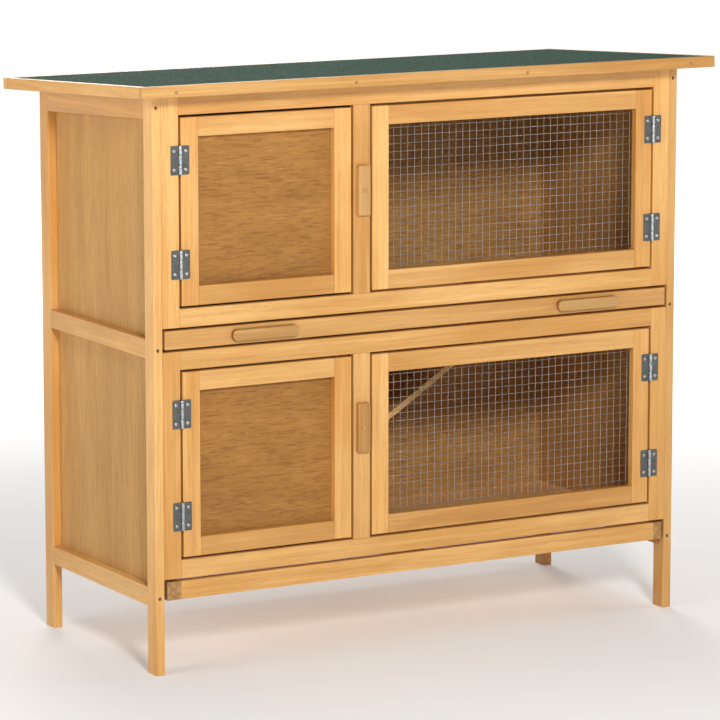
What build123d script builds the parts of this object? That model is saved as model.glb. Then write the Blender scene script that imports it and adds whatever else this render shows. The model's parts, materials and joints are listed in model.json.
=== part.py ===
from build123d import *
import os
from math import cos, radians, sin, tan

# Two-storey rabbit hutch in softwood and plywood, millimetres, +Z up.
# x = 0 and y = 0 are the middle of the body, z = 0 is the ground, the doors face -Y.

# Body and stock
body_w = 960
body_d = 400
post_t = 15
post_d = 30
rail_t = 15
rail_h = 29
side_h = 30
side_top_h = 35
panel_t = 5
screw_r = 2.0
screw_head_r = 2.9
screw_head_t = 2.5
screw_shank = 45
counterbore_r = 3.2
counterbore_d = 6
pilot_d = 25
fit = 0.2
run_fit = 0.3

# Levels, from the ground up
floor_z = 118
board_t = 4
gap = 4
frame_h = 357
drop = 11
floor_left_w = 24
floor_right_w = 15

# Doors and the upright between them
door_gap = 4
door_t = 13
stile_w = 30
lap = 10
door_panel_t = 4
left_door_w = 299
mesh_pitch = 12.7
wire = 1.2

# Butt hinges
hinge_h = 45
hinge_leaf_w = 16
hinge_leaf_t = 1.2
barrel_r = 2.5
pin_r = 1.1
hinge_inset = 65
leaf_clear = 0.4
hinge_screw_r = 1.5
hinge_screw_head_r = 2.8
hinge_screw_head_t = 0.9
hinge_screw_l = 10
hinge_screw_depth = 11
hinge_screw_off = 10
hinge_screw_end = 8

# Turn buttons and tray handles
button_l = 79
button_h = 21
button_t = 9
button_corner = 2
handle_l = 115
handle_h = 18
handle_t = 10
handle_corner = 2.5
handle_left_inset = 192
handle_right_inset = 172
handle_ease = 1.5
button_ease = 1.0
button_clear = 0.5
button_head_r = 3.6
button_head_t = 1.4
button_screw_depth = 12
upper_button_up = 193.5
lower_button_up = 209.5

# Tray and ramp
tray_base_t = 6
tray_wall = 10
tray_play = 2
tray_back_play = 4
tray_clear = 0.5
tray_under = 1
runner_w = 12
runner_h = 10
bearer_w = 15
bearer_h = 30
ramp_bearer_inset = 152
notch_l = 200
notch_w = 180
notch_inset = 28
ramp_angle = 32.6
ramp_w = 170
ramp_t = 10
ramp_back_gap = 10
ramp_head_s = 18
ramp_foot_gap = 0.3
rod_r = 3
bracket_t = 2.5
bracket_h = 16
bracket_gap = 1.75
cleat_w = 8
cleat_h = 5
cleat_step = 58
cleat_first = 40
cleat_end = 8

# Divider
divider_t = 9
divider_lift = 3
arch_w = 150
arch_h = 190
arch_y = 40

# Roof
overhang_x = 40
overhang_y = 50
roof_angle = 3.2
roof_board_t = 15
felt_t = 3
trim_t = 12
roof_gap = 1.2
panel_top_gap = 2
divider_top_gap = 1
seam_gap = 1
nail_step = 312
nail_shift = 5
nail_t = 2.8
nail_l = 26
nail_head = 4.6
nail_head_t = 0.8

# Derived levels and faces
half_w = body_w / 2
half_d = body_d / 2
front = -half_d
inner_x = half_w - post_t
side_in = inner_x - panel_t
back_in = half_d - rail_t - panel_t
lower_z = floor_z + rail_h + gap
tray_z = lower_z + frame_h + gap
upper_z = tray_z + rail_h + gap
roof_front_z = upper_z + frame_h + roof_gap
low_rail_z = floor_z - drop
mid_rail_z = tray_z - side_h / 2
door_h = frame_h - 2 * rail_h - 2 * door_gap
stile_in = inner_x - stile_w
left_door_x = -stile_in + door_gap
mullion_x = left_door_x + left_door_w + door_gap
right_door_x = mullion_x + stile_w + door_gap
right_door_w = stile_in - door_gap - right_door_x
fall = tan(radians(roof_angle))
frame_mid_y = front + rail_t / 2
tray_under_z = tray_z + tray_under
runner_z = tray_under_z - tray_clear
upper_button_z = upper_z + upper_button_up
lower_button_z = lower_z + lower_button_up
ramp_bearer_x = half_w - ramp_bearer_inset
mid_bearer_x = mullion_x + stile_w / 2 - bearer_w / 2
screw_zs = [low_rail_z + side_h / 2, mid_rail_z + side_h / 2, roof_front_z - side_top_h / 2]
screw_zs_back = [low_rail_z + side_h / 2, mid_rail_z + side_h / 2]

os.makedirs("parts", exist_ok=True)


def roof_z(y):
    """Height of the underside of the roof above depth y."""
    return roof_front_z - fall * (y - front)


screw_zs_back.append(roof_z(half_d - post_d) - side_top_h / 2)


# ---------------------------------------------------------------- corner posts
# Four planed softwood posts, 15 mm across the front and 30 mm deep. Their tops are cut
# to the fall of the roof. Counterbored screws run through them into the side rails.
def post(x, y, face_y, zs):
    with BuildPart() as made:
        with BuildSketch(Plane.YZ.offset(x)):
            with BuildLine():
                Polyline(
                    (y, 0),
                    (y + post_d, 0),
                    (y + post_d, roof_z(y + post_d)),
                    (y, roof_z(y)),
                    close=True,
                )
            make_face()
        extrude(amount=post_t)
        into = 1 if face_y < 0 else -1
        spots = [(x + post_t / 2, z) for z in zs]
        with BuildSketch(Plane.XZ.offset(-face_y)):
            with Locations(*spots):
                Circle(screw_r + fit)
        extrude(amount=-into * post_d, mode=Mode.SUBTRACT)
        with BuildSketch(Plane.XZ.offset(-face_y)):
            with Locations(*spots):
                Circle(counterbore_r)
        extrude(amount=-into * counterbore_d, mode=Mode.SUBTRACT)
    return made.part


leg_front_left = post(-half_w, front, front, screw_zs)
leg_front_left.label = "leg_front_left"
export_step(leg_front_left, "parts/leg_front_left.step")

leg_front_right = post(half_w - post_t, front, front, screw_zs)
leg_front_right.label = "leg_front_right"
export_step(leg_front_right, "parts/leg_front_right.step")

leg_back_left = post(-half_w, half_d - post_d, half_d, screw_zs_back)
leg_back_left.label = "leg_back_left"
export_step(leg_back_left, "parts/leg_back_left.step")

leg_back_right = post(half_w - post_t, half_d - post_d, half_d, screw_zs_back)
leg_back_right.label = "leg_back_right"
export_step(leg_back_right, "parts/leg_back_right.step")


# ------------------------------------------------------------------ side rails
# Three rails between each pair of posts, flush with their outer faces. The top one
# follows the roof. Each end has a pilot hole for the screw that comes through the post.
def side_rails(x):
    y0 = front + post_d
    y1 = half_d - post_d
    mid = (y0 + y1) / 2
    with BuildPart() as made:
        with Locations((x + post_t / 2, mid, low_rail_z + side_h / 2)):
            Box(post_t, y1 - y0, side_h)
        with Locations((x + post_t / 2, mid, mid_rail_z + side_h / 2)):
            Box(post_t, y1 - y0, side_h)
        with BuildSketch(Plane.YZ.offset(x)):
            with BuildLine():
                Polyline(
                    (y0, roof_z(y0) - side_top_h),
                    (y1, roof_z(y1) - side_top_h),
                    (y1, roof_z(y1)),
                    (y0, roof_z(y0)),
                    close=True,
                )
            make_face()
        extrude(amount=post_t)
        with BuildSketch(Plane.XZ.offset(-y0)):
            with Locations(*[(x + post_t / 2, z) for z in screw_zs]):
                Circle(screw_r + fit)
        extrude(amount=-pilot_d, mode=Mode.SUBTRACT)
        with BuildSketch(Plane.XZ.offset(-y1)):
            with Locations(*[(x + post_t / 2, z) for z in screw_zs_back]):
                Circle(screw_r + fit)
        extrude(amount=pilot_d, mode=Mode.SUBTRACT)
    return made.part


side_rails_left = side_rails(-half_w)
side_rails_left.label = "side_rails_left"
export_step(side_rails_left, "parts/side_rails_left.step")

side_rails_right = side_rails(half_w - post_t)
side_rails_right.label = "side_rails_right"
export_step(side_rails_right, "parts/side_rails_right.step")

# ---------------------------------------------------------------- frame screws
# Long steel wood screws, one group: head sunk in the counterbore, shank through the
# post and into the end of the rail.
head_in = counterbore_d - screw_head_t
screw_xs = [-half_w + post_t / 2, half_w - post_t / 2]
front_spots = [(x, z) for x in screw_xs for z in screw_zs]
back_spots = [(x, z) for x in screw_xs for z in screw_zs_back]
with BuildPart() as frame_screws:
    with BuildSketch(Plane.XZ.offset(half_d - head_in)):
        with Locations(*front_spots):
            Circle(screw_head_r)
    extrude(amount=-screw_head_t)
    with BuildSketch(Plane.XZ.offset(half_d - counterbore_d)):
        with Locations(*front_spots):
            Circle(screw_r)
    extrude(amount=-screw_shank)
    with BuildSketch(Plane.XZ.offset(head_in - half_d)):
        with Locations(*back_spots):
            Circle(screw_head_r)
    extrude(amount=screw_head_t)
    with BuildSketch(Plane.XZ.offset(counterbore_d - half_d)):
        with Locations(*back_spots):
            Circle(screw_r)
    extrude(amount=screw_shank)
frame_screws.part.label = "frame_screws"
export_step(frame_screws.part, "parts/frame_screws.step")


# ----------------------------------------------------------------- side panels
# Thin plywood, an upper and a lower sheet, nailed to the inner faces of the posts and
# rails. They start behind the front frames and stop at the back panels.
def side_panels(x):
    y0 = front + rail_t
    seam = tray_z
    with BuildPart() as made:
        with BuildSketch(Plane.YZ.offset(x)):
            with BuildLine():
                Polyline(
                    (y0, seam + seam_gap / 2),
                    (back_in, seam + seam_gap / 2),
                    (back_in, roof_z(back_in) - panel_top_gap),
                    (y0, roof_z(y0) - panel_top_gap),
                    close=True,
                )
            make_face()
        extrude(amount=panel_t)
        with Locations((x + panel_t / 2, (y0 + back_in) / 2, (low_rail_z + seam - seam_gap / 2) / 2)):
            Box(panel_t, back_in - y0, seam - seam_gap / 2 - low_rail_z)
    return made.part


side_panels_left = side_panels(-inner_x)
side_panels_left.label = "side_panels_left"
export_step(side_panels_left, "parts/side_panels_left.step")

side_panels_right = side_panels(side_in)
side_panels_right.label = "side_panels_right"
export_step(side_panels_right, "parts/side_panels_right.step")

# ------------------------------------------------------------------- back rails
# Three rails between the back posts, flush with the back, at the heights of the side
# rails. The top edge of the highest one is planed to the fall of the roof.
with BuildPart() as back_rails:
    with Locations(
        (0, half_d - rail_t / 2, low_rail_z + side_h / 2),
        (0, half_d - rail_t / 2, mid_rail_z + side_h / 2),
    ):
        Box(2 * inner_x, rail_t, side_h)
    with BuildSketch(Plane.YZ.offset(-inner_x)):
        with BuildLine():
            Polyline(
                (half_d - rail_t, roof_z(half_d) - side_top_h),
                (half_d, roof_z(half_d) - side_top_h),
                (half_d, roof_z(half_d)),
                (half_d - rail_t, roof_z(half_d - rail_t)),
                close=True,
            )
        make_face()
    extrude(amount=2 * inner_x)
back_rails.part.label = "back_rails"
export_step(back_rails.part, "parts/back_rails.step")

# ------------------------------------------------------------------ back panels
# Two plywood sheets with the grain along the hutch, nailed to the back rails from
# inside. The seam lies on the middle rail.
back_top = roof_z(half_d - rail_t) - panel_top_gap
seam_low = tray_z - seam_gap / 2
seam_high = tray_z + seam_gap / 2
with BuildPart() as back_panels:
    with Locations((0, back_in + panel_t / 2, (low_rail_z + seam_low) / 2)):
        Box(2 * inner_x, panel_t, seam_low - low_rail_z)
    with Locations((0, back_in + panel_t / 2, (seam_high + back_top) / 2)):
        Box(2 * inner_x, panel_t, back_top - seam_high)
back_panels.part.label = "back_panels"
export_step(back_panels.part, "parts/back_panels.step")

# ------------------------------------------------------------------ floor frame
# Two side members running front to back, whose end grain shows at the front, with a
# front rail, a back rail and one joist between them.
floor_mid_z = floor_z + rail_h / 2
with BuildPart() as floor_sides:
    with Locations((-side_in + floor_left_w / 2, (front + back_in) / 2, floor_mid_z)):
        Box(floor_left_w, back_in - front, rail_h)
    with Locations((side_in - floor_right_w / 2, (front + back_in) / 2, floor_mid_z)):
        Box(floor_right_w, back_in - front, rail_h)
floor_sides.part.label = "floor_sides"
export_step(floor_sides.part, "parts/floor_sides.step")

floor_rail_l = 2 * side_in - floor_left_w - floor_right_w
floor_rail_x = (floor_left_w - floor_right_w) / 2
with BuildPart() as floor_rails:
    with Locations(
        (floor_rail_x, frame_mid_y, floor_mid_z),
        (floor_rail_x, back_in - rail_t / 2, floor_mid_z),
    ):
        Box(floor_rail_l, rail_t, rail_h)
    joist_d = back_in - front - 2 * rail_t
    with Locations((floor_rail_x, front + rail_t + joist_d / 2, floor_mid_z)):
        Box(rail_t, joist_d, rail_h)
floor_rails.part.label = "floor_rails"
export_step(floor_rails.part, "parts/floor_rails.step")

# Floor board of the lower run: one sheet nailed down on the floor frame.
with BuildPart() as floor_board:
    floor_d = back_in - front - rail_t
    with Locations((0, front + rail_t + floor_d / 2, floor_z + rail_h + board_t / 2)):
        Box(2 * side_in, floor_d, board_t)
floor_board.part.label = "floor_board"
export_step(floor_board.part, "parts/floor_board.step")


# ----------------------------------------------------------------- front frames
# One frame per storey, standing between the front posts: two full-height stiles, a top
# and a bottom rail between them, and an upright that parts the two doors. The stiles
# and the upright carry pilot holes for the hinge and turn button screws.
def hinge_zs(z):
    return [z + rail_h + door_gap + hinge_inset, z + frame_h - rail_h - door_gap - hinge_inset]


def leaf_screws(x, zs):
    return [(x, z + s * (hinge_h / 2 - hinge_screw_end)) for z in zs for s in (-1, 1)]


hinge_left_x = -stile_in + door_gap / 2
hinge_right_x = stile_in - door_gap / 2


def frame_stiles(z):
    with BuildPart() as made:
        with Locations(
            (-inner_x + stile_w / 2, frame_mid_y, z + frame_h / 2),
            (inner_x - stile_w / 2, frame_mid_y, z + frame_h / 2),
        ):
            Box(stile_w, rail_t, frame_h)
        spots = leaf_screws(hinge_left_x - hinge_screw_off, hinge_zs(z))
        spots += leaf_screws(hinge_right_x + hinge_screw_off, hinge_zs(z))
        with BuildSketch(Plane.XZ.offset(-front)):
            with Locations(*spots):
                Circle(hinge_screw_r + fit)
        extrude(amount=-hinge_screw_depth, mode=Mode.SUBTRACT)
    return made.part


def frame_rails(z):
    with BuildPart() as made:
        with Locations(
            (0, frame_mid_y, z + rail_h / 2),
            (0, frame_mid_y, z + frame_h - rail_h / 2),
        ):
            Box(2 * stile_in, rail_t, rail_h)
    return made.part


def frame_mullion(z, pivot_z):
    with BuildPart() as made:
        with Locations((mullion_x + stile_w / 2, frame_mid_y, z + frame_h / 2)):
            Box(stile_w, rail_t, frame_h - 2 * rail_h)
        with BuildSketch(Plane.XZ.offset(-front)):
            with Locations((mullion_x + stile_w / 2, pivot_z)):
                Circle(screw_r + fit)
        extrude(amount=-button_screw_depth, mode=Mode.SUBTRACT)
    return made.part


lower_frame_stiles = frame_stiles(lower_z)
lower_frame_stiles.label = "lower_frame_stiles"
export_step(lower_frame_stiles, "parts/lower_frame_stiles.step")

lower_frame_rails = frame_rails(lower_z)
lower_frame_rails.label = "lower_frame_rails"
export_step(lower_frame_rails, "parts/lower_frame_rails.step")

lower_mullion = frame_mullion(lower_z, lower_button_z)
lower_mullion.label = "lower_mullion"
export_step(lower_mullion, "parts/lower_mullion.step")

upper_frame_stiles = frame_stiles(upper_z)
upper_frame_stiles.label = "upper_frame_stiles"
export_step(upper_frame_stiles, "parts/upper_frame_stiles.step")

upper_frame_rails = frame_rails(upper_z)
upper_frame_rails.label = "upper_frame_rails"
export_step(upper_frame_rails, "parts/upper_frame_rails.step")

upper_mullion = frame_mullion(upper_z, upper_button_z)
upper_mullion.label = "upper_mullion"
export_step(upper_mullion, "parts/upper_mullion.step")


# ------------------------------------------------------------------------ doors
# Each door has two full-height stiles with a rail between them at top and bottom, all
# flush with the frame when shut. A sheet or a wire grille is fixed across the back.
def door_stiles(x, w, z, hinge_x, out):
    z0 = z + rail_h + door_gap
    with BuildPart() as made:
        with Locations(
            (x + stile_w / 2, front + door_t / 2, z0 + door_h / 2),
            (x + w - stile_w / 2, front + door_t / 2, z0 + door_h / 2),
        ):
            Box(stile_w, door_t, door_h)
        with BuildSketch(Plane.XZ.offset(-front)):
            with Locations(*leaf_screws(hinge_x + out * hinge_screw_off, hinge_zs(z))):
                Circle(hinge_screw_r + fit)
        extrude(amount=-hinge_screw_depth, mode=Mode.SUBTRACT)
    return made.part


def door_rails(x, w, z):
    z0 = z + rail_h + door_gap
    with BuildPart() as made:
        with Locations(
            (x + w / 2, front + door_t / 2, z0 + stile_w / 2),
            (x + w / 2, front + door_t / 2, z0 + door_h - stile_w / 2),
        ):
            Box(w - 2 * stile_w, door_t, stile_w)
    return made.part


def door_sheet(x, w, z):
    z0 = z + rail_h + door_gap
    inset = stile_w - lap
    with BuildPart() as made:
        with Locations((x + w / 2, front + door_t + door_panel_t / 2, z0 + door_h / 2)):
            Box(w - 2 * inset, door_panel_t, door_h - 2 * inset)
    return made.part


# Square welded mesh, half-inch pitch: upright wires against the door, level wires welded
# behind them, the whole grille stapled to the back of the door.
def door_mesh(x, w, z):
    mid_x = x + w / 2
    mid_z = z + rail_h + door_gap + door_h / 2
    across = int((w - 2 * (stile_w - lap)) / mesh_pitch)
    up = int((door_h - 2 * (stile_w - lap)) / mesh_pitch)
    back = front + door_t
    upright_xs = [mid_x + (k - across / 2) * mesh_pitch for k in range(across + 1)]
    level_zs = [mid_z + (k - up / 2) * mesh_pitch for k in range(up + 1)]
    with BuildPart() as made:
        with Locations(*[(wx, back + wire / 2, mid_z) for wx in upright_xs]):
            Box(wire, wire, up * mesh_pitch + wire)
        with Locations(*[(mid_x, back + wire * 1.5, wz) for wz in level_zs]):
            Box(across * mesh_pitch + wire, wire, wire)
    return made.part


upper_left_stiles = door_stiles(left_door_x, left_door_w, upper_z, hinge_left_x, 1)
upper_left_stiles.label = "upper_left_door_stiles"
export_step(upper_left_stiles, "parts/upper_left_door_stiles.step")

upper_left_rails = door_rails(left_door_x, left_door_w, upper_z)
upper_left_rails.label = "upper_left_door_rails"
export_step(upper_left_rails, "parts/upper_left_door_rails.step")

upper_left_panel = door_sheet(left_door_x, left_door_w, upper_z)
upper_left_panel.label = "upper_left_door_panel"
export_step(upper_left_panel, "parts/upper_left_door_panel.step")

lower_left_stiles = door_stiles(left_door_x, left_door_w, lower_z, hinge_left_x, 1)
lower_left_stiles.label = "lower_left_door_stiles"
export_step(lower_left_stiles, "parts/lower_left_door_stiles.step")

lower_left_rails = door_rails(left_door_x, left_door_w, lower_z)
lower_left_rails.label = "lower_left_door_rails"
export_step(lower_left_rails, "parts/lower_left_door_rails.step")

lower_left_panel = door_sheet(left_door_x, left_door_w, lower_z)
lower_left_panel.label = "lower_left_door_panel"
export_step(lower_left_panel, "parts/lower_left_door_panel.step")

upper_right_stiles = door_stiles(right_door_x, right_door_w, upper_z, hinge_right_x, -1)
upper_right_stiles.label = "upper_right_door_stiles"
export_step(upper_right_stiles, "parts/upper_right_door_stiles.step")

upper_right_rails = door_rails(right_door_x, right_door_w, upper_z)
upper_right_rails.label = "upper_right_door_rails"
export_step(upper_right_rails, "parts/upper_right_door_rails.step")

upper_right_mesh = door_mesh(right_door_x, right_door_w, upper_z)
upper_right_mesh.label = "upper_right_door_mesh"
export_step(upper_right_mesh, "parts/upper_right_door_mesh.step")

lower_right_stiles = door_stiles(right_door_x, right_door_w, lower_z, hinge_right_x, -1)
lower_right_stiles.label = "lower_right_door_stiles"
export_step(lower_right_stiles, "parts/lower_right_door_stiles.step")

lower_right_rails = door_rails(right_door_x, right_door_w, lower_z)
lower_right_rails.label = "lower_right_door_rails"
export_step(lower_right_rails, "parts/lower_right_door_rails.step")

lower_right_mesh = door_mesh(right_door_x, right_door_w, lower_z)
lower_right_mesh.label = "lower_right_door_mesh"
export_step(lower_right_mesh, "parts/lower_right_door_mesh.step")


# ----------------------------------------------------------------- butt hinges
# Pressed steel butt hinges planted on the front faces, two to a door. Each leaf carries
# its own knuckles of the barrel and two wood screws. The pin stays in the frame leaf.
def hinge_set(axis_x, out, zs, fixed):
    axis_y = front - barrel_r - fit
    third = hinge_h / 3
    if fixed:
        own = [-third, third]
        other = [0]
    else:
        own = [0]
        other = [-third, third]
    leaf_mid = axis_x + out * (hinge_leaf_w + leaf_clear) / 2
    leaf_spots = leaf_screws(axis_x + out * hinge_screw_off, zs)
    with BuildPart() as made:
        with Locations(*[(leaf_mid, front - hinge_leaf_t / 2, z) for z in zs]):
            Box(hinge_leaf_w - leaf_clear, hinge_leaf_t, hinge_h)
        with BuildSketch(Plane.XZ.offset(-front + hinge_leaf_t)):
            with Locations(*leaf_spots):
                Circle(hinge_screw_r + fit)
        extrude(amount=-hinge_leaf_t, mode=Mode.SUBTRACT)
        with Locations(*[(axis_x, axis_y, z + k) for z in zs for k in other]):
            Cylinder(barrel_r + run_fit, third + leaf_clear, mode=Mode.SUBTRACT)
        with Locations(*[(axis_x, axis_y, z + k) for z in zs for k in own]):
            Cylinder(barrel_r, third - leaf_clear)
        if fixed:
            with Locations(*[(axis_x, axis_y, z) for z in zs]):
                Cylinder(pin_r, hinge_h)
        else:
            with Locations(*[(axis_x, axis_y, z) for z in zs]):
                Cylinder(pin_r + run_fit, hinge_h, mode=Mode.SUBTRACT)
        with BuildSketch(Plane.XZ.offset(-front + hinge_leaf_t)):
            with Locations(*leaf_spots):
                Circle(hinge_screw_head_r)
        extrude(amount=hinge_screw_head_t)
        with BuildSketch(Plane.XZ.offset(-front + hinge_leaf_t)):
            with Locations(*leaf_spots):
                Circle(hinge_screw_r)
        extrude(amount=-hinge_screw_l)
    return made.part


hinge_leaves_left = hinge_set(hinge_left_x, -1, hinge_zs(lower_z) + hinge_zs(upper_z), True)
hinge_leaves_left.label = "hinge_leaves_left"
export_step(hinge_leaves_left, "parts/hinge_leaves_left.step")

hinge_leaves_right = hinge_set(hinge_right_x, 1, hinge_zs(lower_z) + hinge_zs(upper_z), True)
hinge_leaves_right.label = "hinge_leaves_right"
export_step(hinge_leaves_right, "parts/hinge_leaves_right.step")

upper_left_hinges = hinge_set(hinge_left_x, 1, hinge_zs(upper_z), False)
upper_left_hinges.label = "upper_left_door_hinges"
export_step(upper_left_hinges, "parts/upper_left_door_hinges.step")

lower_left_hinges = hinge_set(hinge_left_x, 1, hinge_zs(lower_z), False)
lower_left_hinges.label = "lower_left_door_hinges"
export_step(lower_left_hinges, "parts/lower_left_door_hinges.step")

upper_right_hinges = hinge_set(hinge_right_x, -1, hinge_zs(upper_z), False)
upper_right_hinges.label = "upper_right_door_hinges"
export_step(upper_right_hinges, "parts/upper_right_door_hinges.step")

lower_right_hinges = hinge_set(hinge_right_x, -1, hinge_zs(lower_z), False)
lower_right_hinges.label = "lower_right_door_hinges"
export_step(lower_right_hinges, "parts/lower_right_door_hinges.step")


# ---------------------------------------------------------------- turn buttons
# A wooden bar with eased edges that turns on one screw in the upright and reaches
# across both doors when it lies level. It is stored upright, so that the doors are free.
def turn_button(pivot_z):
    x = mullion_x + stile_w / 2
    with BuildPart() as made:
        with Locations((x, front - button_clear - button_t / 2, pivot_z)):
            Box(button_h, button_t, button_l)
        fillet(made.edges().filter_by(Axis.Y), radius=button_corner)
        fillet(made.faces().sort_by(Axis.Y)[0].edges(), radius=button_ease)
        with BuildSketch(Plane.XZ.offset(-front + button_clear)):
            with Locations((x, pivot_z)):
                Circle(screw_r + run_fit)
        extrude(amount=button_t, mode=Mode.SUBTRACT)
    return made.part


upper_button = turn_button(upper_button_z)
upper_button.label = "upper_turn_button"
export_step(upper_button, "parts/upper_turn_button.step")

lower_button = turn_button(lower_button_z)
lower_button.label = "lower_turn_button"
export_step(lower_button, "parts/lower_turn_button.step")

# Pivot screws: a low domed head in front of each button, the shank in the upright.
button_face = half_d + button_clear + button_t + run_fit
with BuildPart() as button_screws:
    pivots = [(mullion_x + stile_w / 2, z) for z in (lower_button_z, upper_button_z)]
    with BuildSketch(Plane.XZ.offset(button_face)):
        with Locations(*pivots):
            Circle(button_head_r)
    extrude(amount=button_head_t)
    fillet(button_screws.faces().sort_by(Axis.Y)[:2].edges(), radius=button_head_t * 0.6)
    with BuildSketch(Plane.XZ.offset(button_face)):
        with Locations(*pivots):
            Circle(screw_r)
    extrude(amount=half_d - button_face - button_screw_depth + 1)
button_screws.part.label = "button_screws"
export_step(button_screws.part, "parts/button_screws.step")

# ------------------------------------------------------- tray runners and bearers
# Two softwood runners along the side panels and two bearers from front to back carry
# the tray. The right bearer also holds the top of the ramp.
runner_d = back_in - front - rail_t
runner_y = front + rail_t + runner_d / 2
with BuildPart() as tray_runners:
    with Locations(
        (-side_in + runner_w / 2, runner_y, runner_z - runner_h / 2),
        (side_in - runner_w / 2, runner_y, runner_z - runner_h / 2),
    ):
        Box(runner_w, runner_d, runner_h)
tray_runners.part.label = "tray_runners"
export_step(tray_runners.part, "parts/tray_runners.step")

with BuildPart() as tray_bearers:
    with Locations(
        (mid_bearer_x + bearer_w / 2, runner_y, runner_z - bearer_h / 2),
        (ramp_bearer_x + bearer_w / 2, runner_y, runner_z - bearer_h / 2),
    ):
        Box(bearer_w, runner_d, bearer_h)
tray_bearers.part.label = "tray_bearers"
export_step(tray_bearers.part, "parts/tray_bearers.step")

# ------------------------------------------------------------------ nest divider
# Plywood wall behind the upper upright with an arched doorway. It stops just above the
# tray, so that the tray can be drawn out under it.
divider_z = tray_z + rail_h + divider_lift
with BuildPart() as nest_divider:
    with BuildSketch(Plane.YZ.offset(mullion_x + stile_w / 2 - divider_t / 2)):
        with BuildLine():
            Polyline(
                (front + rail_t, divider_z),
                (back_in, divider_z),
                (back_in, roof_z(back_in) - divider_top_gap),
                (front + rail_t, roof_z(front + rail_t) - divider_top_gap),
                close=True,
            )
        make_face()
        with Locations((arch_y, divider_z + (arch_h - arch_w / 2) / 2)):
            Rectangle(arch_w, arch_h - arch_w / 2, mode=Mode.SUBTRACT)
        with Locations((arch_y, divider_z + arch_h - arch_w / 2)):
            Circle(arch_w / 2, mode=Mode.SUBTRACT)
    extrude(amount=divider_t)
nest_divider.part.label = "nest_divider"
export_step(nest_divider.part, "parts/nest_divider.step")

# ------------------------------------------------------------------------- tray
# Drawer-like tray that is the upper floor: a front board between the two frames, a
# plywood base with a notch for the ramp, and a low lip all round the base.
tray_front_w = 2 * side_in + 2
with BuildPart() as tray_front:
    with Locations((0, front + door_t / 2, tray_z + rail_h / 2)):
        Box(tray_front_w, door_t, rail_h)
tray_front.part.label = "tray_front"
export_step(tray_front.part, "parts/tray_front.step")

tray_hw = side_in - tray_play
tray_y0 = front + door_t
tray_y1 = back_in - tray_back_play
notch_x1 = ramp_bearer_x - notch_inset
notch_x0 = notch_x1 - notch_l
notch_y = tray_y1 - notch_w
with BuildPart() as tray_base:
    with BuildSketch(Plane.XY.offset(tray_under_z)):
        with BuildLine():
            Polyline(
                (-tray_hw, tray_y0),
                (tray_hw, tray_y0),
                (tray_hw, tray_y1),
                (notch_x1, tray_y1),
                (notch_x1, notch_y),
                (notch_x0, notch_y),
                (notch_x0, tray_y1),
                (-tray_hw, tray_y1),
                close=True,
            )
        make_face()
    extrude(amount=tray_base_t)
tray_base.part.label = "tray_base"
export_step(tray_base.part, "parts/tray_base.step")

with BuildPart() as tray_lip:
    with BuildSketch(Plane.XY.offset(tray_under_z + tray_base_t)):
        with BuildLine():
            Polyline(
                (-tray_hw, tray_y0),
                (tray_hw, tray_y0),
                (tray_hw, tray_y1),
                (notch_x1, tray_y1),
                (notch_x1, notch_y),
                (notch_x0, notch_y),
                (notch_x0, tray_y1),
                (-tray_hw, tray_y1),
                close=True,
            )
        make_face()
        with BuildLine():
            Polyline(
                (-tray_hw + tray_wall, tray_y0 + tray_wall),
                (tray_hw - tray_wall, tray_y0 + tray_wall),
                (tray_hw - tray_wall, tray_y1 - tray_wall),
                (notch_x1 + tray_wall, tray_y1 - tray_wall),
                (notch_x1 + tray_wall, notch_y - tray_wall),
                (notch_x0 - tray_wall, notch_y - tray_wall),
                (notch_x0 - tray_wall, tray_y1 - tray_wall),
                (-tray_hw + tray_wall, tray_y1 - tray_wall),
                close=True,
            )
        make_face(mode=Mode.SUBTRACT)
    extrude(amount=tray_z + rail_h - tray_under_z - tray_base_t)
tray_lip.part.label = "tray_lip"
export_step(tray_lip.part, "parts/tray_lip.step")

# Two wooden pull bars with eased corners, fixed to the tray front from behind.
with BuildPart() as tray_handles:
    with Locations(
        (-half_w + handle_left_inset, front - handle_t / 2, tray_z + rail_h / 2),
        (half_w - handle_right_inset, front - handle_t / 2, tray_z + rail_h / 2),
    ):
        Box(handle_l, handle_t, handle_h)
    fillet(tray_handles.edges().filter_by(Axis.Y), radius=handle_corner)
    fillet(tray_handles.faces().sort_by(Axis.Y)[:2].edges(), radius=handle_ease)
tray_handles.part.label = "tray_handles"
export_step(tray_handles.part, "parts/tray_handles.step")

# ------------------------------------------------------------------------- ramp
# Board with cross cleats that leads from the opening in the tray down to the lower
# floor. Its head batten turns on a steel rod held by two brackets on the right bearer.
turn_r = ramp_head_s * 0.7072
ramp_x = ramp_bearer_x - turn_r - 1.3
ramp_z = runner_z - turn_r - 2.8
ramp_y1 = back_in - ramp_back_gap
ramp_y0 = ramp_y1 - ramp_w
ramp_mid_y = (ramp_y0 + ramp_y1) / 2
slope = radians(ramp_angle)
floor_top = floor_z + rail_h + board_t
ramp_len = (ramp_z - floor_top - ramp_foot_gap - ramp_t / 2 * cos(slope)) / sin(slope)
ramp_plane = Plane(
    origin=(ramp_x, ramp_mid_y, ramp_z),
    x_dir=(-cos(slope), 0, -sin(slope)),
    z_dir=(-sin(slope), 0, cos(slope)),
)
with BuildPart() as ramp_board:
    with BuildSketch(ramp_plane.offset(-ramp_t / 2)):
        with Locations(((ramp_head_s / 2 + ramp_len) / 2, 0)):
            Rectangle(ramp_len - ramp_head_s / 2, ramp_w)
    extrude(amount=ramp_t)
ramp_board.part.label = "ramp_board"
export_step(ramp_board.part, "parts/ramp_board.step")

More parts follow.
